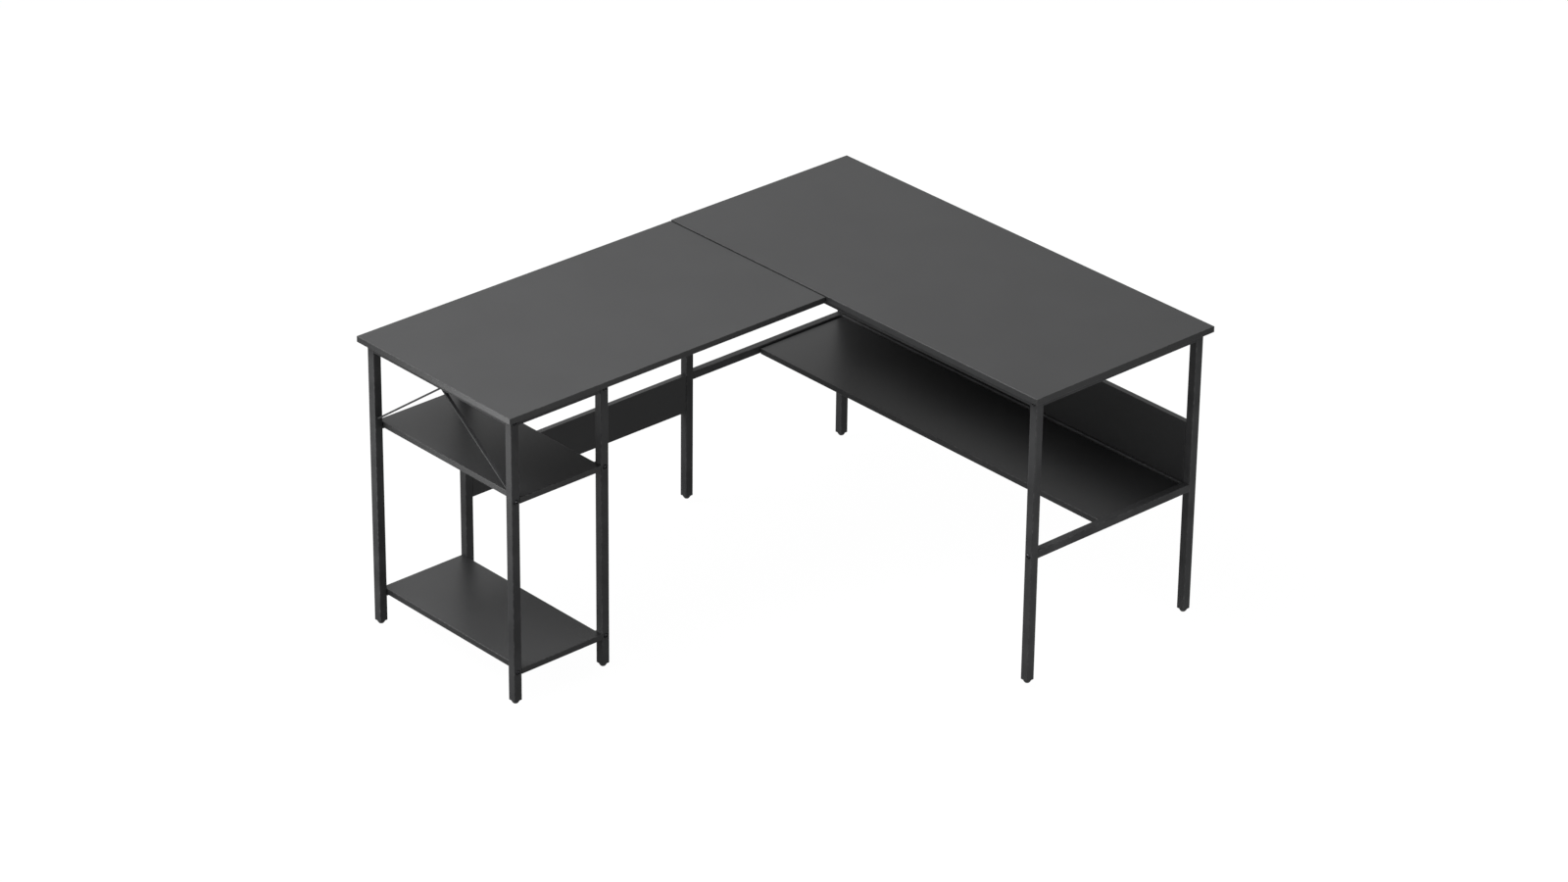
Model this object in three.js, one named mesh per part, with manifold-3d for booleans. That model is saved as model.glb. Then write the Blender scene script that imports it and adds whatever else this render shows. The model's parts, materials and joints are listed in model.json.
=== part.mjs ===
// Corner desk: a main desk with a return on its left, on a frame of black square steel tube.
// Millimetres, +Z up. +X runs along the long side of the main desk, +Y points to its back edge.
// The desk is laid out from the front left corner of the main top at floor level, and the finished
// group is moved so that its origin is the centre of its footprint, on the floor.

import * as THREE from 'three';
import { mergeVertices } from 'three/addons/utils/BufferGeometryUtils.js';
import Module from 'manifold-3d';

const wasm = await Module();
wasm.setup();

// Driving dimensions
const deskHeight = 750;
const mainLength = 1250;      // main top, along X
const mainDepth = 570;        // main top, along Y
const returnLength = 950;     // return top, along Y, from the front edge of the main top
const returnDepth = 550;      // return top, along X
const board = 15;             // thickness of every board
const legTube = 22;           // outer width of the square leg tube
const railTube = 20;          // outer width of the square rail tube
const wall = 1.5;             // wall of both tubes
const overhang = 17;          // a top reaches this far past the legs
const footHeight = 8;         // visible height of a levelling foot, screwed fully in
const gap = 0.3;              // clearance between pieces that touch

// Heights
const topStep = 2;            // the return top lies this much lower than the main top
const mainUnderside = deskHeight - board;
const returnUnderside = mainUnderside - topStep;
const mainRailHeight = mainUnderside - gap - railTube / 2;
const returnRailHeight = returnUnderside - gap - railTube / 2;
const shelfRailHeight = 334;
const shelfRailTop = shelfRailHeight + railTube / 2;
const shelfRailBottom = shelfRailHeight - railTube / 2;
const backPanelTop = 500;
const upperShelfHeight = 522.5;   // middle of the board, and of the bolts beside it
const lowerShelfHeight = 82.5;
const modestyTop = 342;
const modestyHeight = 100;

// Plan: leg centres and the faces that the boards meet
const legInset = overhang + legTube / 2;
const half = legTube / 2;
const seam = 2;               // gap between the two tops
const mainLeft = legInset;
const mainRight = mainLength - legInset;
const mainFront = legInset;
const mainBack = mainDepth - legInset;
const returnLeft = legInset;
const returnRight = returnDepth - legInset;
const returnOuter = -returnLength + legInset;
const shelfUnitDepth = 262;   // between leg centres of the shelf unit, along Y
const returnInner = returnOuter + shelfUnitDepth;
const backRailSetForward = 6.5;   // the back shelf rail stands this far in front of the back legs
const shelfDepth = 266;
const shelfGap = 3;
const shelfRecess = 5;        // the shelf's top lies this far below the rails beside it
const returnShelfInset = 6;   // from the left faces of the legs to the left edge of a return shelf
const modestyInset = 1;       // from the right faces of the left legs to the modesty panel

// Tube details
const tubeCorner = 2;
const cornerSegments = 3;
const nutBlock = 12;          // threaded block welded in the foot of a leg
const nutPlate = 3;           // threaded plate welded in the end of a bolted rail
const footBore = 4.3;         // radius
const boltHole = 3.3;         // radius

// Bolts: M6 with a button head and a hexagon socket
const boltRadius = 3;
const boltLength = 25.5;       // ends flush with the threaded plate or ear behind the leg
const headRadius = 6.25;
const headHeight = 3.3;
const headRim = 1.2;
const headCrown = 3.6;        // radius of the flat on top of the head
const socketAcrossCorners = 4.6;
const socketDepth = 2;
const roundSegments = 12;
const cutPast = 1;            // a cutting shape reaches this far out of the piece that it cuts

// Levelling foot: moulded glide on an M8 stud
const glideTop = 9;
const glideFloor = 6.5;
const glideEdge = 1;
const glideTaper = 4.5;
const studRadius = 4;
const studTop = 30;

// Brace bars, bearers, ledges and the plate under the seam
const braceThickness = 4;
const braceWidth = 8;
const braceFoot = 543;
const bearerThickness = 3;
const bearerWidth = 16;
const bearerLip = 6;          // depth of the lip folded down along a bolted bearer
const earSide = 7;            // an ear reaches this far above its bolt, and past it sideways
const ledgeWidth = 14;
const ledgeThickness = 2.2;
const ledgeSetBack = 20;
const plateLength = 320;
const plateThickness = 2.5;
const plateReach = 36;        // from the seam, under the return top
const plateReachMain = 16;    // from the seam, under the main top, up to the front rail

const laminate = { color: 0x3a3b3c, roughness: 0.5, metalness: 0.0 };
const powderCoat = { color: 0x26272a, roughness: 0.45, metalness: 0.2 };
const blackBolt = { color: 0x121212, roughness: 0.3, metalness: 0.6 };
const blackPlastic = { color: 0x161616, roughness: 0.6, metalness: 0.0 };

const desk = new THREE.Group();

function addPiece(name, geometry, finish) {
  const mesh = new THREE.Mesh(geometry, new THREE.MeshStandardMaterial(finish));
  mesh.name = name;
  desk.add(mesh);
  return mesh;
}

// Booleans

function toSolid(geometry) {
  const bare = geometry.clone();
  bare.deleteAttribute('normal');
  bare.deleteAttribute('uv');
  const merged = mergeVertices(bare, 1e-4);
  return new wasm.Manifold(new wasm.Mesh({
    numProp: 3,
    vertProperties: new Float32Array(merged.attributes.position.array),
    triVerts: new Uint32Array(merged.index.array),
  }));
}

function toGeometry(solid) {
  const mesh = solid.getMesh();
  const geometry = new THREE.BufferGeometry();
  geometry.setAttribute('position', new THREE.BufferAttribute(new Float32Array(mesh.vertProperties), 3));
  geometry.setIndex(new THREE.BufferAttribute(new Uint32Array(mesh.triVerts), 1));
  geometry.computeVertexNormals();
  return geometry;
}

function cut(solid, ...tools) {
  return tools.reduce((rest, tool) => rest.subtract(tool), solid);
}

// Simple shapes

function box(from, to) {
  const size = to.map((value, i) => value - from[i]);
  const geometry = new THREE.BoxGeometry(...size);
  geometry.translate(...to.map((value, i) => (value + from[i]) / 2));
  return geometry;
}

// A shape standing along Z is turned to lie along X or Y.
function turnTo(geometry, axis) {
  if (axis === 'x') geometry.rotateY(Math.PI / 2);
  if (axis === 'y') geometry.rotateX(-Math.PI / 2);
  return geometry;
}

function roundedSquare(width, radius) {
  const reach = width / 2 - radius;
  const shape = new THREE.Shape();
  shape.absarc(reach, reach, radius, 0, Math.PI / 2);
  shape.absarc(-reach, reach, radius, Math.PI / 2, Math.PI);
  shape.absarc(-reach, -reach, radius, Math.PI, Math.PI * 1.5);
  shape.absarc(reach, -reach, radius, Math.PI * 1.5, Math.PI * 2);
  return shape;
}

// Bars and tubes run from 0 to their length along Z.
function squareBar(width, length) {
  return new THREE.ExtrudeGeometry(roundedSquare(width, tubeCorner), {
    depth: length,
    bevelEnabled: false,
    curveSegments: cornerSegments,
  });
}

function cavity(width, from, to) {
  const inside = width / 2 - wall;
  return toSolid(box([-inside, -inside, from], [inside, inside, to]));
}

function drill(radius, centre, axis, length) {
  const geometry = new THREE.CylinderGeometry(radius, radius, length, roundSegments);
  geometry.rotateX(Math.PI / 2);
  turnTo(geometry, axis);
  geometry.translate(...centre);
  return toSolid(geometry);
}

// Boards

function addBoard(name, from, to) {
  addPiece(name, box(from, to), laminate);
}

function addTops() {
  addBoard('main_top', [0, 0, mainUnderside], [mainLength, mainDepth, deskHeight]);
  addBoard('return_top', [0, -returnLength, returnUnderside], [returnDepth, -seam, deskHeight - topStep]);
}

function addMainShelf() {
  const rear = mainBack - half - backRailSetForward - shelfGap;
  const side = railTube / 2 + shelfGap;
  const top = shelfRailTop - shelfRecess;
  addBoard('main_shelf',
    [mainLeft + side, rear - shelfDepth, top - board],
    [mainRight - side, rear, top]);
}

function addBackPanel() {
  const front = mainBack - half;
  addBoard('main_back_panel',
    [mainLeft + half + gap, front, shelfRailTop + gap],
    [mainRight - half - gap, front + board, backPanelTop]);
}

// The return's shelves lie between the outer and the inner legs, flush with the right-hand faces.
function addReturnShelf(name, height) {
  addBoard(name,
    [returnLeft - half + returnShelfInset, returnOuter + half + gap, height - board / 2],
    [returnRight + half, returnInner - half - gap, height + board / 2]);
}

function addModestyPanel() {
  const face = returnLeft + half - modestyInset;
  addBoard('return_modesty_panel',
    [face - board, returnInner + half + gap, modestyTop - modestyHeight],
    [face, mainFront - half - gap, modestyTop]);
}

// Legs and feet

const legs = [
  { name: 'main_front_left', x: mainLeft, y: mainFront, top: mainUnderside },
  { name: 'main_front_right', x: mainRight, y: mainFront, top: mainUnderside },
  { name: 'main_back_left', x: mainLeft, y: mainBack, top: mainUnderside },
  { name: 'main_back_right', x: mainRight, y: mainBack, top: mainUnderside },
  { name: 'return_outer_left', x: returnLeft, y: returnOuter, top: returnUnderside },
  { name: 'return_outer_right', x: returnRight, y: returnOuter, top: returnUnderside },
  { name: 'return_inner_left', x: returnLeft, y: returnInner, top: returnUnderside },
  { name: 'return_inner_right', x: returnRight, y: returnInner, top: returnUnderside },
];

// Each leg's bolts, with the way their heads face. The main desk's bolts hold the rails that run
// front to back. The return's hold the rails that run left to right, and on its right-hand legs
// the shelf bearers.
function boltsOf(leg) {
  if (leg.name.startsWith('main')) {
    const facing = leg.name.includes('front') ? [0, -1, 0] : [0, 1, 0];
    const top = { level: 'top', height: mainRailHeight, facing };
    const shelf = { level: 'shelf', height: shelfRailHeight, facing };
    // the modesty panel's end covers this face at shelf height
    return leg.name === 'main_front_left' ? [top] : [top, shelf];
  }
  const facing = leg.name.endsWith('left') ? [-1, 0, 0] : [1, 0, 0];
  const top = { level: 'top', height: returnRailHeight, facing };
  if (leg.name.endsWith('left')) return [top];
  const upper = { level: 'upper', height: upperShelfHeight, facing };
  const lower = { level: 'lower', height: lowerShelfHeight, facing };
  return [top, upper, lower];
}

function addLeg(leg) {
  const length = leg.top - gap - footHeight;
  const holes = boltsOf(leg).map((bolt) => {
    const axis = bolt.facing[0] === 0 ? 'y' : 'x';
    return drill(boltHole, [0, 0, bolt.height - footHeight], axis, legTube * 2);
  });
  const tube = cut(
    toSolid(squareBar(legTube, length)),
    cavity(legTube, nutBlock, length + cutPast),
    drill(footBore, [0, 0, nutBlock / 2], 'z', nutBlock * 2),
    ...holes,
  );
  const mesh = addPiece(`leg_${leg.name}`, toGeometry(tube), powderCoat);
  mesh.position.set(leg.x, leg.y, footHeight);
}

function addFoot(leg) {
  const glide = footHeight - gap;
  const profile = [
    [0, 0],
    [glideFloor, 0],
    [glideFloor + glideEdge, glideEdge],
    [glideTop, glideTaper],
    [glideTop, glide],
    [studRadius, glide],
    [studRadius, studTop],
    [0, studTop],
  ].map(([r, z]) => new THREE.Vector2(r, z));
  const geometry = new THREE.LatheGeometry(profile, roundSegments);
  geometry.rotateX(Math.PI / 2);
  const mesh = addPiece(`foot_${leg.name}`, geometry, blackPlastic);
  mesh.position.set(leg.x, leg.y, 0);
}

// Bolts

function boltGeometry() {
  const profile = [
    [0, -boltLength],
    [boltRadius, -boltLength],
    [boltRadius, 0],
    [headRadius, 0],
    [headRadius, headRim],
    [headCrown, headHeight],
    [0, headHeight],
  ].map(([r, z]) => new THREE.Vector2(r, z));
  const blank = new THREE.LatheGeometry(profile, roundSegments);
  blank.rotateX(Math.PI / 2);
  const hexagon = new THREE.CylinderGeometry(
    socketAcrossCorners / 2, socketAcrossCorners / 2, socketDepth * 2, 6);
  hexagon.rotateX(Math.PI / 2);
  hexagon.translate(0, 0, headHeight);
  return toGeometry(cut(toSolid(blank), toSolid(hexagon)));
}

function addBolts(leg) {
  for (const bolt of boltsOf(leg)) {
    const facing = new THREE.Vector3(...bolt.facing);
    const mesh = addPiece(`bolt_${leg.name}_${bolt.level}`, boltGeometry(), blackBolt);
    mesh.quaternion.setFromUnitVectors(new THREE.Vector3(0, 0, 1), facing);
    mesh.position.set(leg.x, leg.y, bolt.height).addScaledVector(facing, half + gap);
  }
}

// Rails

// A welded rail is an open tube. A bolted rail has a threaded plate in each end.
function railSolid(length, bolted) {
  const bar = toSolid(squareBar(railTube, length));
  if (!bolted) return cut(bar, cavity(railTube, -cutPast, length + cutPast));
  return cut(
    bar,
    cavity(railTube, nutPlate, length - nutPlate),
    drill(boltHole, [0, 0, length / 2], 'z', length + 2 * cutPast),
  );
}

// A rail lies between two leg faces, or other faces, at a distance of the usual gap.
function railBetween(axis, from, to, across, height, bolted) {
  const length = to - from - 2 * gap;
  const geometry = turnTo(toGeometry(railSolid(length, bolted)), axis);
  if (axis === 'x') geometry.translate(from + gap, across, height);
  else geometry.translate(across, from + gap, height);
  return geometry;
}

function addRail(name, axis, from, to, across, height, bolted) {
  addPiece(name, railBetween(axis, from, to, across, height, bolted), powderCoat);
}

function addMainRails() {
  const left = mainLeft + half;
  const right = mainRight - half;
  const front = mainFront + half;
  const back = mainBack - half;
  addRail('rail_main_front', 'x', left, right, mainFront, mainRailHeight, false);
  addRail('rail_main_back', 'x', left, right, mainBack, mainRailHeight, false);
  addRail('rail_main_left', 'y', front, back, mainLeft, mainRailHeight, true);
  addRail('rail_main_right', 'y', front, back, mainRight, mainRailHeight, true);
}

function addReturnRails() {
  const left = returnLeft + half;
  const right = returnRight - half;
  const outer = returnOuter + half;
  const inner = returnInner - half;
  addRail('rail_return_outer', 'x', left, right, returnOuter, returnRailHeight, true);
  addRail('rail_return_inner', 'x', left, right, returnInner, returnRailHeight, true);
  addRail('rail_return_left', 'y', outer, inner, returnLeft, returnRailHeight, false);
  addRail('rail_return_right', 'y', outer, inner, returnRight, returnRailHeight, false);
}

// Each side rail of the main shelf carries a flat ledge, welded along its lower inside edge.
function addShelfSideRail(name, across, inward) {
  const front = mainFront + half;
  const back = mainBack - half;
  const rail = toSolid(railBetween('y', front, back, across, shelfRailHeight, true));
  const shelfBack = back - backRailSetForward - shelfGap;
  const root = [across, across + inward * (railTube / 2 - wall / 2)].sort((a, b) => a - b);
  const lip = [across, across + inward * (railTube / 2 + ledgeWidth)].sort((a, b) => a - b);
  const from = shelfBack - shelfDepth + ledgeSetBack;
  const to = shelfBack - ledgeSetBack;
  const under = shelfRailBottom - gap;
  const weld = toSolid(box(
    [root[0], from, under - ledgeThickness],
    [root[1], to, shelfRailBottom + wall / 2]));
  const ledge = toSolid(box([lip[0], from, under - ledgeThickness], [lip[1], to, under]));
  addPiece(name, toGeometry(rail.add(weld).add(ledge)), powderCoat);
}

function addShelfRails() {
  addShelfSideRail('shelf_rail_left', mainLeft, 1);
  addShelfSideRail('shelf_rail_right', mainRight, -1);
  const across = mainBack - half - backRailSetForward + railTube / 2;
  addRail('shelf_rail_back', 'x', mainLeft + half, mainRight - half, across, shelfRailHeight, false);
}

// Two flat bars make an upright V, point up, in the outer end of the return.
function addBraceBar(name, legFace, middle, inward) {
  const top = returnRailHeight - railTube / 2 - gap;
  const start = legFace + inward * gap;
  const end = middle - inward * gap;
  const slope = (top - braceFoot) / Math.abs(end - start);
  const halfHeight = braceThickness / 2 * Math.hypot(1, slope);
  const upperMeets = start + inward * (top - braceFoot - halfHeight) / slope;
  const shape = new THREE.Shape([
    new THREE.Vector2(start, braceFoot - halfHeight),
    new THREE.Vector2(end, top - halfHeight),
    new THREE.Vector2(end, top),
    new THREE.Vector2(upperMeets, top),
    new THREE.Vector2(start, braceFoot + halfHeight),
  ]);
  const geometry = new THREE.ExtrudeGeometry(shape, { depth: braceWidth, bevelEnabled: false });
  geometry.rotateX(Math.PI / 2);
  geometry.translate(0, returnOuter + braceWidth / 2, 0);
  addPiece(name, geometry, powderCoat);
}

function addBrace() {
  const middle = (returnLeft + returnRight) / 2;
  addBraceBar('brace_bar_left', returnLeft + half, middle, 1);
  addBraceBar('brace_bar_right', returnRight - half, middle, -1);
}

// Bearers lie under the left and right sides of a shelf, between the outer and the inner leg.
const bearerOuter = returnOuter + half + gap;
const bearerInner = returnInner - half - gap;

// On the left a flat strip is welded between the two legs.
function addWeldedBearer(name, height) {
  const left = returnLeft + half - bearerWidth;
  const top = height - board / 2 - gap;
  addPiece(name, box(
    [left, bearerOuter, top - bearerThickness],
    [left + bearerWidth, bearerInner, top]), powderCoat);
}

// On the right the strip's inner edge is folded down into a lip, and the ends of the lip turn up
// into ears, which are bolted to the faces of the legs that look into the shelf.
function addBoltedBearer(name, height) {
  const face = returnRight - half - gap;
  const back = face - bearerThickness;
  const top = height - board / 2 - gap;
  const bottom = top - bearerThickness;
  const from = returnOuter - earSide;
  const to = returnInner + earSide;
  const strip = toSolid(box([back, bearerOuter, bottom], [back + bearerWidth, bearerInner, top]));
  const lip = toSolid(box([back, from, bottom - bearerLip], [face, to, top]));
  const ears = [[from, returnOuter + half], [returnInner - half, to]].map(
    ([start, end]) => toSolid(box([back, start, bottom], [face, end, height + earSide])));
  const holes = [returnOuter, returnInner].map(
    (legY) => drill(boltHole, [face, legY, height], 'x', bearerWidth));
  addPiece(name, toGeometry(cut(strip.add(lip).add(ears[0]).add(ears[1]), ...holes)), powderCoat);
}

function addBearers() {
  addWeldedBearer('bearer_upper_left', upperShelfHeight);
  addWeldedBearer('bearer_lower_left', lowerShelfHeight);
  addBoltedBearer('bearer_upper_right', upperShelfHeight);
  addBoltedBearer('bearer_lower_right', lowerShelfHeight);
}

// A stepped plate under the seam ties the two tops together. Its outline is in the Y-Z plane.
function addJoiningPlate() {
  const low = returnUnderside - gap;
  const high = mainUnderside - gap;
  const shape = new THREE.Shape([
    new THREE.Vector2(-plateReach, low - plateThickness),
    new THREE.Vector2(0, low - plateThickness),
    new THREE.Vector2(topStep, high - plateThickness),
    new THREE.Vector2(plateReachMain, high - plateThickness),
    new THREE.Vector2(plateReachMain, high),
    new THREE.Vector2(gap, high),
    new THREE.Vector2(-seam, low),
    new THREE.Vector2(-plateReach, low),
  ]);
  const geometry = new THREE.ExtrudeGeometry(shape, { depth: plateLength, bevelEnabled: false });
  geometry.rotateX(Math.PI / 2);
  geometry.rotateZ(Math.PI / 2);
  geometry.translate((returnDepth - plateLength) / 2, 0, 0);
  addPiece('joining_plate', geometry, powderCoat);
}

addTops();
addMainShelf();
addBackPanel();
addReturnShelf('return_upper_shelf', upperShelfHeight);
addReturnShelf('return_lower_shelf', lowerShelfHeight);
addModestyPanel();
for (const leg of legs) {
  addLeg(leg);
  addFoot(leg);
  addBolts(leg);
}
addMainRails();
addReturnRails();
addShelfRails();
addBrace();
addBearers();
addJoiningPlate();

desk.position.set(-mainLength / 2, (returnLength - mainDepth) / 2, 0);

export default desk;
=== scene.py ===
import json
import math

import bmesh
import bpy
from mathutils import Matrix, Vector


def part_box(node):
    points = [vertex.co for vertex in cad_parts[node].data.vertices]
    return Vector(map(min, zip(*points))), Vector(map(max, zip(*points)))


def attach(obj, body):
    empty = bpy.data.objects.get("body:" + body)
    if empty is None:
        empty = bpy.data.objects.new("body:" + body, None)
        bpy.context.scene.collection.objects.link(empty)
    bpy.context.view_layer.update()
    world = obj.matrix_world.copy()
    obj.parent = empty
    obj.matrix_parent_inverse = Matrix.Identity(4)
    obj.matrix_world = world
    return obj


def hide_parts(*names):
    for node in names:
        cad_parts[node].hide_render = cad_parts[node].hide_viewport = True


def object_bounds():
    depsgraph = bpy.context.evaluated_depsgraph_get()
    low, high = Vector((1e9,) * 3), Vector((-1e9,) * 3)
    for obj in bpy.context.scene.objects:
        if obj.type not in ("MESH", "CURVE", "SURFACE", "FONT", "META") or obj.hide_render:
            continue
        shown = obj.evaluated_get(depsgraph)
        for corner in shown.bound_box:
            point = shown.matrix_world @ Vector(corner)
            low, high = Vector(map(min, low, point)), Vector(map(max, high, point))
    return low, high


# Corner desk: the looks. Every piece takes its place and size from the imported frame, in metres.

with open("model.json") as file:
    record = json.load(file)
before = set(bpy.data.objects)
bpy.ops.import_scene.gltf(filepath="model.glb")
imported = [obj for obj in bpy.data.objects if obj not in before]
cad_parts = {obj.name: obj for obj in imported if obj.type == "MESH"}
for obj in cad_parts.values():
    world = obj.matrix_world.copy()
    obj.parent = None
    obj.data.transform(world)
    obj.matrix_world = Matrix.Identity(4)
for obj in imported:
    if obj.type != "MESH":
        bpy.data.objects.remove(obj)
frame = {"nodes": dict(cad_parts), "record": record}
cad_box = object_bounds()

MM = 0.001
BODY_OF = {n: body for body, nodes in frame["record"]["behaviour"]["bodies"].items() for n in nodes}
SLOT_OF = {part["node"]: part["material_slot"] for part in frame["record"]["subparts"]}


def size_of(node):
    low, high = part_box(node)
    return high - low


def centre_of(node):
    low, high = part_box(node)
    return (low + high) / 2


def long_axis(size):
    """The way along which something of this size lies: X or Y."""
    return Vector((1, 0, 0)) if size.x > size.y else Vector((0, 1, 0))


LEG_WIDTH = size_of("leg_main_front_left").x
RAIL_WIDTH = size_of("rail_main_front").z
TUBE_WALL = 1.5 * MM
TUBE_CORNER = 2.0 * MM
END_CHAMFER = 0.35 * MM
NUT_BLOCK = 12 * MM
NUT_PLATE = 3 * MM
STUD_HOLE_RADIUS = 4.3 * MM
BOLT_HOLE_RADIUS = 3.3 * MM
BOARD_EDGE = 1.0 * MM
STEEL_EDGE = 0.4 * MM
LEDGE_SET_BACK = 20 * MM

# Node groups

NODES = sorted(frame["nodes"])
BOARDS = [n for n in NODES if SLOT_OF[n] == "laminate"]
LEGS = [n for n in NODES if n.startswith("leg_")]
FEET = [n for n in NODES if n.startswith("foot_")]
BOLTS = [n for n in NODES if n.startswith("bolt_")]
SHELF_SIDE_RAILS = ["shelf_rail_left", "shelf_rail_right"]
WELDED_RAILS = [
    "rail_main_front",
    "rail_main_back",
    "rail_return_left",
    "rail_return_right",
    "shelf_rail_back",
]
BOLTED_RAILS = ["rail_main_left", "rail_main_right", "rail_return_outer", "rail_return_inner"]
PLAIN_STEEL = ["brace_bar_left", "brace_bar_right", "joining_plate"]
PLAIN_STEEL += [n for n in NODES if n.startswith("bearer_")]

# Materials


class Nodes:
    """Adds shader nodes to one material in few words."""

    def __init__(self, name):
        self.material = bpy.data.materials.new(name)
        self.material.use_nodes = True
        self.tree = self.material.node_tree
        self.shader = self.tree.nodes["Principled BSDF"]
        self.place = self.add("ShaderNodeTexCoord").outputs["Object"]

    def add(self, kind, **values):
        node = self.tree.nodes.new(kind)
        for name, value in values.items():
            setattr(node, name, value)
        return node

    def link(self, output, target):
        self.tree.links.new(output, target)

    def noise(self, size, detail=2.0, stretch=(1, 1, 1)):
        """Noise whose features are about size metres across."""
        mapping = self.add("ShaderNodeMapping")
        mapping.inputs["Scale"].default_value = stretch
        self.link(self.place, mapping.inputs["Vector"])
        node = self.add("ShaderNodeTexNoise")
        node.inputs["Scale"].default_value = 1 / size
        node.inputs["Detail"].default_value = detail
        self.link(mapping.outputs["Vector"], node.inputs["Vector"])
        return node.outputs["Fac"]

    def spread(self, value, low, high, to_low=0.0, to_high=1.0):
        node = self.add("ShaderNodeMapRange")
        node.inputs["From Min"].default_value = low
        node.inputs["From Max"].default_value = high
        node.inputs["To Min"].default_value = to_low
        node.inputs["To Max"].default_value = to_high
        self.link(value, node.inputs["Value"])
        return node.outputs["Result"]

    def reckon(self, operation, first, second):
        node = self.add("ShaderNodeMath", operation=operation)
        for value, target in ((first, node.inputs[0]), (second, node.inputs[1])):
            if isinstance(value, (int, float)):
                target.default_value = value
            else:
                self.link(value, target)
        return node.outputs[0]

    def blend(self, factor, first, second):
        node = self.add("ShaderNodeMix", data_type="RGBA")
        self.link(factor, node.inputs["Factor"])
        for value, target in ((first, node.inputs[6]), (second, node.inputs[7])):
            if isinstance(value, tuple):
                target.default_value = (*value, 1)
            else:
                self.link(value, target)
        return node.outputs[2]

    def worn_edges(self):
        """1 on the faces marked as edges, broken up by noise."""
        edge = self.add("ShaderNodeAttribute", attribute_name="edge").outputs["Fac"]
        return self.reckon("MULTIPLY", edge, self.spread(self.noise(9 * MM, 4), 0.45, 0.7))

    def bumps(self, *layers):
        """Each layer is a height, and the depth in metres of its full range."""
        last = None
        for height, depth in layers:
            bump = self.add("ShaderNodeBump")
            bump.inputs["Strength"].default_value = 1.0
            bump.inputs["Distance"].default_value = depth
            self.link(height, bump.inputs["Height"])
            if last:
                self.link(last, bump.inputs["Normal"])
            last = bump.outputs["Normal"]
        self.link(last, self.shader.inputs["Normal"])

    def set(self, **values):
        for name, value in values.items():
            self.shader.inputs[name.replace("_", " ")].default_value = value


def laminate():
    """Charcoal laminated board: a fine pebbled, satin surface with small tone changes."""
    m = Nodes("charcoal_laminate")
    grain = m.noise(1.6 * MM, 3)
    cloud = m.noise(140 * MM, 3)
    tone = m.reckon("ADD", m.spread(grain, 0.3, 0.7, 0, 0.85), m.spread(cloud, 0.35, 0.65, 0, 0.15))
    base = m.blend(tone, (0.0070, 0.0071, 0.0074), (0.0150, 0.0152, 0.0156))
    worn = m.worn_edges()
    m.link(m.blend(worn, base, (0.03, 0.03, 0.03)), m.shader.inputs["Base Color"])
    rough = m.spread(grain, 0.3, 0.7, 0.34, 0.42)
    m.link(rough, m.shader.inputs["Roughness"])
    m.bumps((grain, 0.03 * MM), (m.noise(0.7 * MM, 1), 0.012 * MM))
    m.set(Specular_IOR_Level=0.25)
    return m.material


def powder_coat():
    """Black satin powder coat: fine orange peel, and a little rubbed along the corners."""
    m = Nodes("black_powder_coat")
    peel = m.noise(1.1 * MM, 2)
    cloud = m.noise(60 * MM, 2)
    base = m.blend(m.spread(cloud, 0.35, 0.65), (0.0175, 0.0177, 0.0182), (0.0235, 0.0238, 0.0244))
    worn = m.worn_edges()
    m.link(m.blend(worn, base, (0.036, 0.036, 0.037)), m.shader.inputs["Base Color"])
    m.link(m.spread(m.reckon("ADD", peel, cloud), 0.7, 1.3, 0.36, 0.48), m.shader.inputs["Roughness"])
    m.bumps((peel, 0.05 * MM), (m.noise(0.4 * MM, 1), 0.01 * MM))
    m.set(Specular_IOR_Level=0.1)
    return m.material


def black_bolt():
    """Black oxide steel: darker metal with faint turning marks and bright rubbed rims."""
    m = Nodes("black_bolt_steel")
    stain = m.noise(2.5 * MM, 3)
    base = m.blend(m.spread(stain, 0.3, 0.7), (0.010, 0.010, 0.011), (0.024, 0.024, 0.026))
    m.link(m.blend(m.worn_edges(), base, (0.09, 0.09, 0.093)), m.shader.inputs["Base Color"])
    m.link(m.spread(stain, 0.3, 0.7, 0.16, 0.28), m.shader.inputs["Roughness"])
    m.bumps((m.noise(0.35 * MM, 1), 0.012 * MM))
    m.set(Metallic=0.85)
    return m.material


def glide_plastic():
    """Moulded black plastic: matt, with fine spark-eroded texture and scuffs near the floor."""
    m = Nodes("black_glide_plastic")
    texture = m.noise(0.5 * MM, 2)
    scuff = m.noise(3 * MM, 4, (1, 1, 0.3))
    base = m.blend(m.spread(scuff, 0.5, 0.75), (0.010, 0.010, 0.0105), (0.03, 0.03, 0.03))
    m.link(base, m.shader.inputs["Base Color"])
    m.link(m.spread(scuff, 0.3, 0.7, 0.42, 0.6), m.shader.inputs["Roughness"])
    m.bumps((texture, 0.03 * MM))
    return m.material


MATERIALS = {
    "laminate": laminate(),
    "frame": powder_coat(),
    "bolts": black_bolt(),
    "glides": glide_plastic(),
}

# Meshes

CREASE_ANGLE = math.radians(40)


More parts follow.
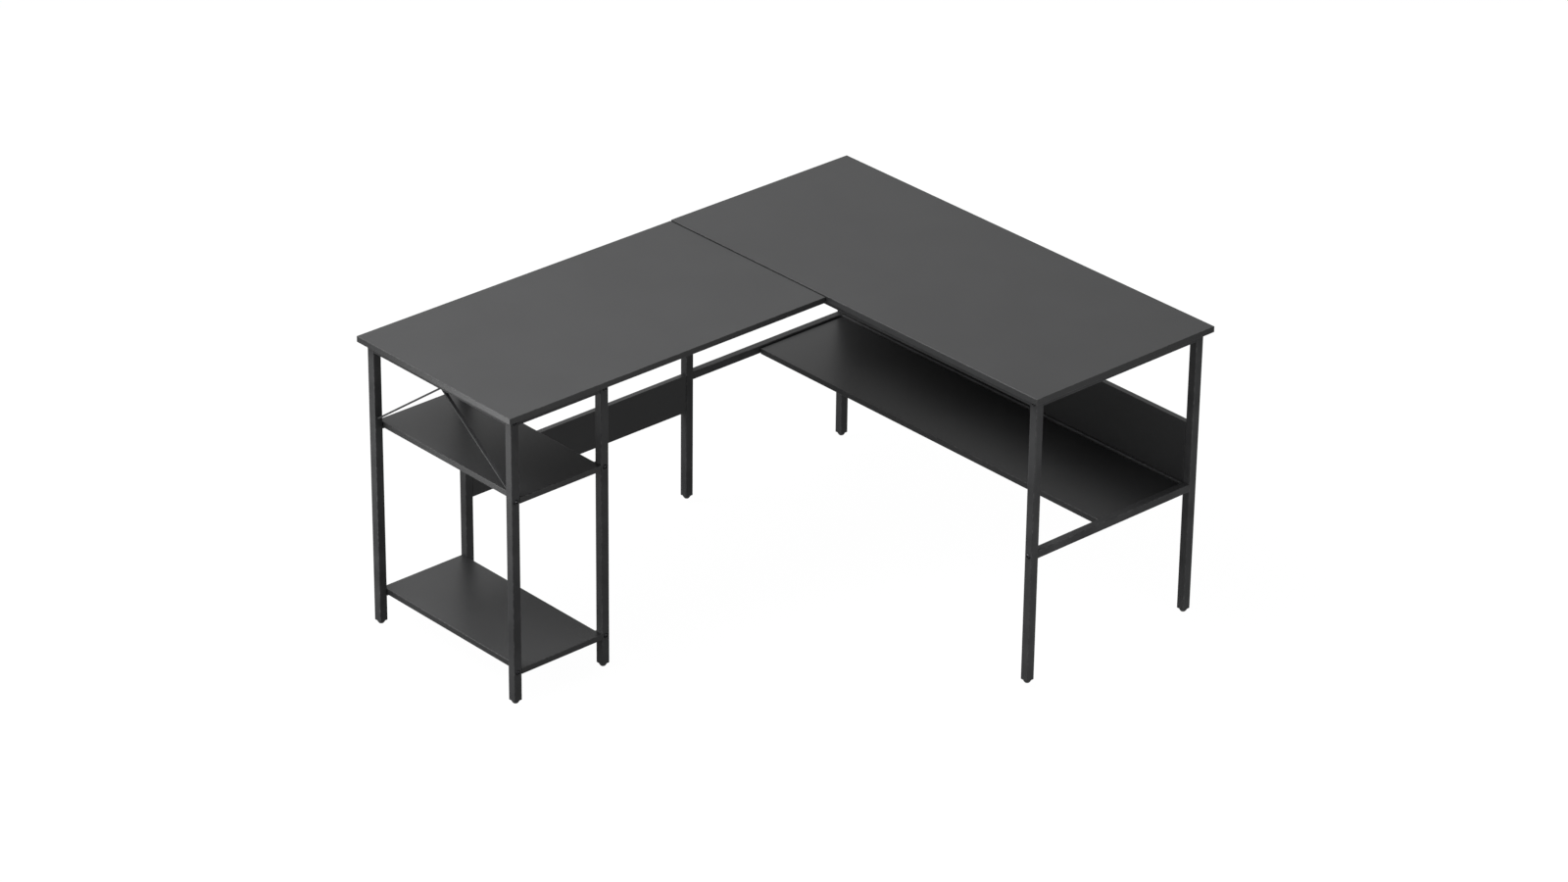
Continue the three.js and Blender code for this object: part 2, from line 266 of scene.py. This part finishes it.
def finish_mesh(bm, name, edge_faces=()):
    """Makes a smooth-shaded object from bm. edge_faces are marked for the worn edges."""
    bm.faces.index_update()
    marked = [face.index for face in edge_faces]
    layer = bm.faces.layers.float.new("edge")
    bm.faces.ensure_lookup_table()
    for index in marked:
        bm.faces[index][layer] = 1.0
    bmesh.ops.recalc_face_normals(bm, faces=bm.faces)
    mesh = bpy.data.meshes.new(name)
    bm.to_mesh(mesh)
    bm.free()
    mesh.shade_smooth()
    mesh.set_sharp_from_angle(angle=CREASE_ANGLE)
    piece = bpy.data.objects.new(name, mesh)
    bpy.context.scene.collection.objects.link(piece)
    weights = piece.modifiers.new("weighted_normals", "WEIGHTED_NORMAL")
    weights.keep_sharp = True
    return piece


def stand_in_for(piece, node):
    """Puts the piece in the place of a CAD node, with that node's body, slot and material."""
    piece.data.materials.append(MATERIALS[SLOT_OF[node]])
    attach(piece, BODY_OF[node])
    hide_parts(node)


def turned(axis):
    """The turn that lays a shape standing along Z along the given axis."""
    return Vector((0, 0, 1)).rotation_difference(Vector(axis)).to_matrix().to_4x4()


def go_with(piece, node):
    """A further piece of steel, which belongs to a node that something else stands in for."""
    piece.data.materials.append(MATERIALS["frame"])
    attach(piece, BODY_OF[node])


def bevelled_box(bm, low, high, radius, segments=4):
    """Adds a box with rounded edges and returns its edge faces."""
    size = high - low
    made = bmesh.ops.create_cube(bm, size=1)
    for vert in made["verts"]:
        vert.co = low + Vector(((vert.co[i] + 0.5) * size[i] for i in range(3)))
    edges = list({e for v in made["verts"] for e in v.link_edges})
    result = bmesh.ops.bevel(
        bm, geom=edges, offset=radius, segments=segments, profile=0.5, affect="EDGES")
    return result["faces"]


def add_board(node):
    bm = bmesh.new()
    edge_faces = bevelled_box(bm, *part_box(node), BOARD_EDGE)
    stand_in_for(finish_mesh(bm, node + ".board", edge_faces), node)


# A tube is a stack of rings, each a loop of the same number of points round the Z axis.

CORNER_STEPS = 5
SIDE_STEPS = 6


def square_loop(width, corner):
    """Points round a square with round corners, as many on each corner and side as any other."""
    reach = width / 2 - corner
    points = []
    for quarter in range(4):
        turn = Matrix.Rotation(quarter * math.pi / 2, 3, "Z")
        for step in range(CORNER_STEPS + 1):
            angle = step / CORNER_STEPS * math.pi / 2
            along = reach + corner * math.cos(angle)
            across = reach + corner * math.sin(angle)
            points.append(turn @ Vector((along, across, 0)))
        for step in range(1, SIDE_STEPS):
            along = reach * (1 - 2 * step / SIDE_STEPS)
            points.append(turn @ Vector((along, reach + corner, 0)))
    return points


def round_loop(radius, like):
    return [p.normalized() * radius for p in like]


def corner_points():
    """Which points of a square loop lie on its corners."""
    per_quarter = CORNER_STEPS + SIDE_STEPS
    return {q * per_quarter + s for q in range(4) for s in range(CORNER_STEPS)}


def add_rings(bm, rings):
    """Joins rings of points, each given as (loop, height), into a closed skin. Returns its face rows."""
    verts = [[bm.verts.new(p + Vector((0, 0, height))) for p in loop] for loop, height in rings]
    count = len(verts[0])
    rows = []
    for ring, upper in zip(verts, verts[1:] + verts[:1]):
        row = []
        for i in range(count):
            j = (i + 1) % count
            row.append(bm.faces.new((ring[i], ring[j], upper[j], upper[i])))
        rows.append(row)
    return rows


def tube(bm, width, length, plug, bore):
    """Adds a square tube from 0 to length along Z, and returns its edge faces.

    plug says how thick its lower and upper ends are closed. A hole of radius bore goes through that.
    """
    outer = square_loop(width, TUBE_CORNER)
    rim = square_loop(width - 2 * END_CHAMFER, TUBE_CORNER - END_CHAMFER)
    inner = square_loop(width - 2 * TUBE_WALL, TUBE_CORNER - TUBE_WALL)
    hole = round_loop(bore, outer)
    rings = [(outer, END_CHAMFER), (rim, 0)]
    rings += [(hole, 0), (hole, plug[0]), (inner, plug[0])] if plug[0] else [(inner, 0)]
    top = length - plug[1]
    rings += [(inner, top), (hole, top), (hole, length)] if plug[1] else [(inner, length)]
    rings += [(rim, length), (outer, length - END_CHAMFER)]
    rows = add_rings(bm, rings)
    corners = corner_points()
    edge_faces = [face for i, face in enumerate(rows[-1]) if i in corners]
    return edge_faces + rows[0] + rows[-2]


def move_all(bm, matrix):
    bmesh.ops.transform(bm, matrix=matrix, verts=bm.verts)


def cut_with(piece, bm):
    """Takes the shape in bm away from the piece."""
    mesh = bpy.data.meshes.new("cutter")
    bm.to_mesh(mesh)
    bm.free()
    cutter = bpy.data.objects.new("cutter", mesh)
    bpy.context.scene.collection.objects.link(cutter)
    cut = piece.modifiers.new("cut", "BOOLEAN")
    cut.operation = "DIFFERENCE"
    cut.solver = "EXACT"
    cut.object = cutter
    piece.modifiers.move(len(piece.modifiers) - 1, 0)
    with bpy.context.temp_override(object=piece, active_object=piece):
        bpy.ops.object.modifier_apply(modifier=cut.name)
    bpy.data.objects.remove(cutter)


HOLE_SEGMENTS = 32


def drill(piece, holes, radius, depth):
    """Cuts round holes out of the piece. Each is given as the middle of its depth and its axis."""
    bm = bmesh.new()
    for centre, axis in holes:
        made = bmesh.ops.create_cone(
            bm, cap_ends=True, segments=HOLE_SEGMENTS, radius1=radius, radius2=radius, depth=depth)
        place = Matrix.Translation(centre) @ turned(axis)
        bmesh.ops.transform(bm, matrix=place, verts=made["verts"])
    cut_with(piece, bm)


def add_leg(node):
    low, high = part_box(node)
    bm = bmesh.new()
    edge_faces = tube(bm, LEG_WIDTH, high.z - low.z, (NUT_BLOCK, 0), STUD_HOLE_RADIUS)
    middle = centre_of(node)
    move_all(bm, Matrix.Translation((middle.x, middle.y, low.z)))
    piece = finish_mesh(bm, node + ".tube", edge_faces)
    holes = []
    for bolt in BOLTS:
        if bolt.startswith(node.replace("leg_", "bolt_")):
            centre = centre_of(bolt)
            holes.append((Vector((middle.x, middle.y, centre.z)), long_axis(size_of(bolt))))
    drill(piece, holes, BOLT_HOLE_RADIUS, LEG_WIDTH * 2)
    stand_in_for(piece, node)


WELD_RADIUS = 1.3 * MM
WELD_STANDS_OUT = 0.2 * WELD_RADIUS
WELD_SWELL = 0.16
WELD_SECTION = 8
WELD_RIPPLES = 22


def weld_bead(bm, width, height):
    """A rippled fillet round the end of a tube, at the given height."""
    loop = square_loop(width + 2 * WELD_STANDS_OUT, TUBE_CORNER)
    count = len(loop)
    rings = []
    for k in range(WELD_SECTION):
        angle = 2 * math.pi * k / WELD_SECTION
        ring = []
        for i, point in enumerate(loop):
            ripple = math.sin(2 * math.pi * WELD_RIPPLES * i / count)
            radius = WELD_RADIUS * (1 + WELD_SWELL * ripple)
            out = point.normalized() * radius * math.cos(angle)
            up = Vector((0, 0, height + radius * math.sin(angle)))
            ring.append(bm.verts.new(point + out + up))
        rings.append(ring)
    for ring, after in zip(rings, rings[1:] + rings[:1]):
        for i in range(count):
            j = (i + 1) % count
            bm.faces.new((ring[i], ring[j], after[j], after[i]))


def rail_frame(low, high):
    """The length of a rail in this box, and the matrix that lays a standing tube in it."""
    size = high - low
    axis = long_axis(size)
    length = max(size.x, size.y)
    start = (low + high) / 2 - axis * length / 2
    return length, Matrix.Translation(start) @ turned(axis)


def add_rail(node, welded):
    low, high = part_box(node)
    length, place = rail_frame(low, high)
    bm = bmesh.new()
    ends = (0, 0) if welded else (NUT_PLATE, NUT_PLATE)
    edge_faces = tube(bm, RAIL_WIDTH, length, ends, BOLT_HOLE_RADIUS)
    move_all(bm, place)
    stand_in_for(finish_mesh(bm, node + ".tube", edge_faces), node)
    if welded:
        add_welds(node, length, place)


def add_welds(node, length, place):
    for end, height in (("start", 0), ("end", length)):
        bm = bmesh.new()
        weld_bead(bm, RAIL_WIDTH, height)
        move_all(bm, place)
        go_with(finish_mesh(bm, f"{node}.weld_{end}"), node)


def add_shelf_side_rail(node):
    """A bolted rail with a ledge under its inner half, which carries the main shelf."""
    low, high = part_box(node)
    inner_face = high.x if node.endswith("left") else low.x
    outer_face = low.x if node.endswith("left") else high.x
    inwards = math.copysign(RAIL_WIDTH, inner_face - outer_face)
    tube_sides = sorted((outer_face, outer_face + inwards))
    tube_low = Vector((tube_sides[0], low.y, high.z - RAIL_WIDTH))
    tube_high = Vector((tube_sides[1], high.y, high.z))
    length, place = rail_frame(tube_low, tube_high)
    bm = bmesh.new()
    edge_faces = tube(bm, RAIL_WIDTH, length, (NUT_PLATE, NUT_PLATE), BOLT_HOLE_RADIUS)
    move_all(bm, place)
    stand_in_for(finish_mesh(bm, node + ".tube", edge_faces), node)
    ledge_sides = sorted((outer_face + inwards / 2, inner_face))
    shelf_low, shelf_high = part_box("main_shelf")
    ledge_low = Vector((ledge_sides[0], shelf_low.y + LEDGE_SET_BACK, low.z))
    ledge_high = Vector((ledge_sides[1], shelf_high.y - LEDGE_SET_BACK, tube_low.z))
    bm = bmesh.new()
    edge_faces = bevelled_box(bm, ledge_low, ledge_high, STEEL_EDGE, 3)
    go_with(finish_mesh(bm, node + ".ledge", edge_faces), node)


# Round pieces are outlines turned about the Z axis. An outline runs from axis to axis.


def lathe(bm, outline, segments):
    """Turns an outline of (radius, height) points into a closed body, and returns its face rows."""
    angles = [2 * math.pi * i / segments for i in range(segments)]
    rings = []
    for radius, height in outline:
        turns = angles if radius else [0]
        places = [(radius * math.cos(a), radius * math.sin(a), height) for a in turns]
        rings.append([bm.verts.new(place) for place in places])
    rows = []
    for ring, after in zip(rings, rings[1:]):
        row = []
        for i in range(segments):
            j = (i + 1) % segments
            corners = [ring[i % len(ring)], ring[j % len(ring)]]
            corners += [after[j % len(after)], after[i % len(after)]]
            row.append(bm.faces.new(list(dict.fromkeys(corners))))
        rows.append(row)
    return rows


def arc(centre, radius, start, end, steps):
    """Points on an arc in an outline, from one angle to another, in degrees."""
    angles = [math.radians(start + (end - start) * step / steps) for step in range(steps + 1)]
    return [(centre[0] + radius * math.cos(a), centre[1] + radius * math.sin(a)) for a in angles]


# A metric thread is this many pitches deep.
THREAD_DEPTH = 0.54


def thread(radius, start, end, pitch):
    """The ridges of a screw thread in an outline, from one height to another."""
    depth = THREAD_DEPTH * pitch
    points = []
    count = int(abs(end - start) / pitch)
    step = math.copysign(pitch, end - start)
    for turn in range(count):
        foot = start + turn * step
        points += [(radius - depth, foot), (radius, foot + 0.5 * step)]
    points.append((radius - depth, start + count * step))
    return points


FOOT_SEGMENTS = 48
FOOT_TOP_GAP = 0.3 * MM
FOOT_FLOOR_EDGE = 1.2 * MM
FOOT_TOP_EDGE = 0.7 * MM
FOOT_FLOOR_SHARE = 0.72
FOOT_TAPER_SHARE = 0.6
FOOT_BEVEL_WIDTH = 0.3 * MM
FOOT_BEVEL_HEIGHT = 0.7 * MM
STUD_RADIUS = 4.0 * MM
STUD_ROOT_RADIUS = 3.3 * MM
STUD_PITCH = 1.25 * MM
STUD_TIP_CHAMFER = 1.2 * MM
STUD_TIP_LENGTH = 1.0 * MM
RECESS_CLEARANCE = 0.9 * MM
RECESS_CHAMFER = 0.3 * MM
RECESS_DEPTH = 0.4 * MM


def glide_outline(radius, top):
    """From the floor up the glide's tapered side and over its top edge."""
    floor_radius = FOOT_FLOOR_SHARE * radius
    taper_top = FOOT_TAPER_SHARE * top
    outline = [(0, 0)]
    outline += arc((floor_radius - FOOT_FLOOR_EDGE, FOOT_FLOOR_EDGE), FOOT_FLOOR_EDGE, -90, -20, 6)
    outline += [(radius - FOOT_BEVEL_WIDTH, taper_top - FOOT_BEVEL_HEIGHT)]
    outline += [(radius, taper_top)]
    outline += arc((radius - FOOT_TOP_EDGE, top - FOOT_TOP_EDGE), FOOT_TOP_EDGE, 0, 90, 5)
    return outline


def stud_outline(bottom, tip):
    """From a shallow recess in the glide's top up the threaded stud to its tip."""
    recess_radius = STUD_RADIUS + RECESS_CLEARANCE
    outline = [(recess_radius + RECESS_CHAMFER, bottom)]
    outline += [(recess_radius, bottom - RECESS_DEPTH)]
    outline += [(STUD_ROOT_RADIUS, bottom - RECESS_DEPTH)]
    outline += thread(STUD_RADIUS, bottom, tip - STUD_TIP_LENGTH, STUD_PITCH)
    outline += [(STUD_RADIUS - STUD_TIP_CHAMFER, tip), (0, tip)]
    return outline


def add_foot(node):
    """A moulded glide on a threaded stud, as one body. It stands on the floor under its leg."""
    top = min(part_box(leg)[0].z for leg in LEGS) - FOOT_TOP_GAP
    outline = glide_outline(size_of(node).x / 2, top) + stud_outline(top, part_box(node)[1].z)
    bm = bmesh.new()
    lathe(bm, outline, FOOT_SEGMENTS)
    middle = centre_of(node)
    move_all(bm, Matrix.Translation((middle.x, middle.y, 0)))
    stand_in_for(finish_mesh(bm, node + ".glide"), node)


BOLT_RADIUS = 3.0 * MM
BOLT_PITCH = 1.0 * MM
BOLT_SEGMENTS = 36
TIP_CHAMFER = 0.7 * MM
THREAD_ENDS = 5.0 * MM
THREAD_RUNOUT = 0.4 * MM
HEAD_HEIGHT = 3.3 * MM
HEAD_RIM = 0.7 * MM
HEAD_CHAMFER = 0.15 * MM
CROWN_ANGLE = math.radians(62)
CROWN_NARROWS = 0.46
CROWN_STEPS = 8
SOCKET_WIDTH = 4.0 * MM
SOCKET_DEPTH = 2.0 * MM


def crown_outline(head_radius):
    """The domed top of a button head, from its rim to its middle."""
    outline = []
    for step in range(1, CROWN_STEPS + 1):
        angle = step / CROWN_STEPS * CROWN_ANGLE
        inwards = (1 - math.cos(angle)) / (1 - math.cos(CROWN_ANGLE))
        upwards = math.sin(angle) / math.sin(CROWN_ANGLE)
        radius = head_radius * (1 - CROWN_NARROWS * inwards)
        outline.append((radius, HEAD_RIM + (HEAD_HEIGHT - HEAD_RIM) * upwards))
    return outline + [(0, HEAD_HEIGHT)]


def bolt_outline(length, head_radius):
    """From the tip of the shank, below, to the top of the button head, whose seat is at 0."""
    outline = [(0, -length), (BOLT_RADIUS - TIP_CHAMFER, -length)]
    outline += thread(BOLT_RADIUS, TIP_CHAMFER - length, -THREAD_ENDS, BOLT_PITCH)
    outline += [(BOLT_RADIUS, THREAD_RUNOUT - THREAD_ENDS), (BOLT_RADIUS, 0)]
    outline += [(head_radius - HEAD_CHAMFER, 0), (head_radius, HEAD_CHAMFER), (head_radius, HEAD_RIM)]
    return outline + crown_outline(head_radius)


def socket_cutter():
    """The hexagon of a bolt's socket. Its corners lie between the head's segments."""
    bm = bmesh.new()
    corner_radius = SOCKET_WIDTH / math.sqrt(3)
    bmesh.ops.create_cone(
        bm, cap_ends=True, segments=6, radius1=corner_radius, radius2=corner_radius,
        depth=2 * SOCKET_DEPTH)
    half_segment = Matrix.Rotation(math.pi / BOLT_SEGMENTS, 4, "Z")
    move_all(bm, Matrix.Translation((0, 0, HEAD_HEIGHT)) @ half_segment)
    return bm


def add_bolt(node):
    axis = long_axis(size_of(node))
    middle = centre_of(node)
    whole_length = max(size_of(node))
    # the head stands out of the leg further than the tip does
    leg = node.replace("bolt_", "leg_").rsplit("_", 1)[0]
    outward = axis if (middle - centre_of(leg)).dot(axis) > 0 else -axis
    seat = middle + outward * (whole_length / 2 - HEAD_HEIGHT)
    bm = bmesh.new()
    outline = bolt_outline(whole_length - HEAD_HEIGHT, size_of(node).z / 2)
    rows = lathe(bm, outline, BOLT_SEGMENTS)
    head_rim = rows[-CROWN_STEPS - 2]
    crown_top = rows[-2]
    piece = finish_mesh(bm, node + ".bolt", head_rim + crown_top)
    cut_with(piece, socket_cutter())
    piece.data.transform(Matrix.Translation(seat) @ turned(outward))
    stand_in_for(piece, node)


MERGE_DISTANCE = 0.01 * MM
SHARP_ANGLE = math.radians(35)


def keep_with_rounded_edges(node, radius):
    """A CAD piece whose shape is right: it keeps its mesh and gets rounded edges and its material."""
    piece = frame["nodes"][node]
    weld = piece.modifiers.new("weld", "WELD")
    weld.merge_threshold = MERGE_DISTANCE
    bevel = piece.modifiers.new("rounded_edges", "BEVEL")
    bevel.width = radius
    bevel.segments = 3
    bevel.limit_method = "ANGLE"
    bevel.angle_limit = SHARP_ANGLE
    bevel.harden_normals = True
    piece.data.materials.clear()
    piece.data.materials.append(MATERIALS[SLOT_OF[node]])
    for polygon in piece.data.polygons:
        polygon.use_smooth = True


for board in BOARDS:
    add_board(board)
for leg in LEGS:
    add_leg(leg)
for foot in FEET:
    add_foot(foot)
for bolt in BOLTS:
    add_bolt(bolt)
for rail in WELDED_RAILS:
    add_rail(rail, welded=True)
for rail in BOLTED_RAILS:
    add_rail(rail, welded=False)
for rail in SHELF_SIDE_RAILS:
    add_shelf_side_rail(rail)
for part in PLAIN_STEEL:
    keep_with_rounded_edges(part, STEEL_EDGE)

# Stage

CAD_CENTRE = (cad_box[0] + cad_box[1]) / 2
FOOT_TRAVEL = max(joint["range_m"][1] for joint in frame["record"]["behaviour"]["joints"])

FLOOR_SIZE = 60
FLOOR_SEEN = 0.98
FLOOR_MIRRORED = 0.40
FLOOR_GAP = 0.5 * MM

WORLD_DARKEST = 0.35
WORLD_BRIGHTEST = 1.7
WORLD_BRIGHT_FROM = (-35, 10)

# Each softbox: its name, azimuth, elevation, distance, width and power in watts.
SOFTBOXES = [
    ("left_front", -30, 60, 3.2, 2.2, 230),
    ("low_front", -25, 0, 1.6, 0.6, 8),
    ("low_right", 100, 0, 2.3, 0.8, 24),
]

CAMERA_AZIMUTH = 47.68
CAMERA_ELEVATION = 27.47
CAMERA_ROLL = 0.69
CAMERA_DISTANCE = 12.715
CAMERA_LENS = 125.7
CAMERA_FAR = 100
AIM_RIGHT = -0.004
AIM_UP = 0.080


def add_floor():
    """A plain white floor, just under the lowest place of the feet, so it hides none of them.

    It glows, so the desk's shadow hardly shows. The desk gets less of the glow than the camera does.
    """
    m = Nodes("white_floor")
    seen = m.add("ShaderNodeLightPath").outputs["Is Camera Ray"]
    glow = m.spread(seen, 0, 1, FLOOR_MIRRORED, FLOOR_SEEN)
    m.link(glow, m.shader.inputs["Emission Strength"])
    m.set(Base_Color=(0.02, 0.02, 0.02, 1), Roughness=1.0, Specular_IOR_Level=0.0)
    m.set(Emission_Color=(1, 1, 1, 1))
    bm = bmesh.new()
    bmesh.ops.create_grid(bm, size=FLOOR_SIZE / 2)
    move_all(bm, Matrix.Translation((0, 0, -FOOT_TRAVEL - FLOOR_GAP)))
    mesh = bpy.data.meshes.new("floor")
    bm.to_mesh(mesh)
    bm.free()
    floor = bpy.data.objects.new("floor", mesh)
    floor.data.materials.append(m.material)
    bpy.context.scene.collection.objects.link(floor)


def towards(azimuth, elevation):
    """The direction from the desk to something at this azimuth and elevation, in degrees.

    Azimuth 0 is straight in front of the desk, and 90 is to its right.
    """
    a, e = math.radians(azimuth), math.radians(elevation)
    return Vector((math.sin(a) * math.cos(e), -math.cos(a) * math.cos(e), math.sin(e)))


def add_world():
    """White light all round, brightest from one direction and falling off smoothly from there."""
    world = bpy.data.worlds.new("studio")
    world.use_nodes = True
    tree = world.node_tree
    direction = tree.nodes.new("ShaderNodeTexCoord").outputs["Generated"]
    facing = tree.nodes.new("ShaderNodeVectorMath")
    facing.operation = "DOT_PRODUCT"
    facing.inputs[1].default_value = towards(*WORLD_BRIGHT_FROM)
    tree.links.new(direction, facing.inputs[0])
    strength = tree.nodes.new("ShaderNodeMapRange")
    strength.interpolation_type = "SMOOTHERSTEP"
    strength.inputs["From Min"].default_value = -1
    strength.inputs["To Min"].default_value = WORLD_DARKEST
    strength.inputs["To Max"].default_value = WORLD_BRIGHTEST
    tree.links.new(facing.outputs["Value"], strength.inputs["Value"])
    background = tree.nodes["Background"]
    background.inputs["Color"].default_value = (1, 1, 1, 1)
    tree.links.new(strength.outputs["Result"], background.inputs["Strength"])
    bpy.context.scene.world = world


def place_and_turn(thing, place, turn):
    """Puts a light or camera in the scene."""
    holder = bpy.data.objects.new(thing.name, thing)
    holder.location = place
    holder.rotation_mode = "QUATERNION"
    holder.rotation_quaternion = turn
    bpy.context.scene.collection.objects.link(holder)
    return holder


def add_softbox(name, azimuth, elevation, distance, width, power):
    """A square area light that looks at the middle of the desk. The camera doesn't see it."""
    back = towards(azimuth, elevation)
    data = bpy.data.lights.new(name, "AREA")
    data.size = width
    data.energy = power
    light = place_and_turn(data, CAD_CENTRE + back * distance, (-back).to_track_quat("-Z", "Y"))
    light.visible_camera = False


def add_camera():
    """Looks from the photo's side at a point a little above the desk's middle, with a long lens."""
    back = towards(CAMERA_AZIMUTH, CAMERA_ELEVATION)
    level = (-back).to_track_quat("-Z", "Y")
    aim = CAD_CENTRE + level @ Vector((AIM_RIGHT, AIM_UP, 0))
    roll = Matrix.Rotation(math.radians(CAMERA_ROLL), 3, "Z").to_quaternion()
    data = bpy.data.cameras.new("camera")
    data.lens = CAMERA_LENS
    data.clip_end = CAMERA_FAR
    camera = place_and_turn(data, aim + back * CAMERA_DISTANCE, level @ roll)
    bpy.context.scene.camera = camera


add_floor()
add_world()
for softbox in SOFTBOXES:
    add_softbox(*softbox)
add_camera()
bpy.context.scene.view_settings.view_transform = "Standard"
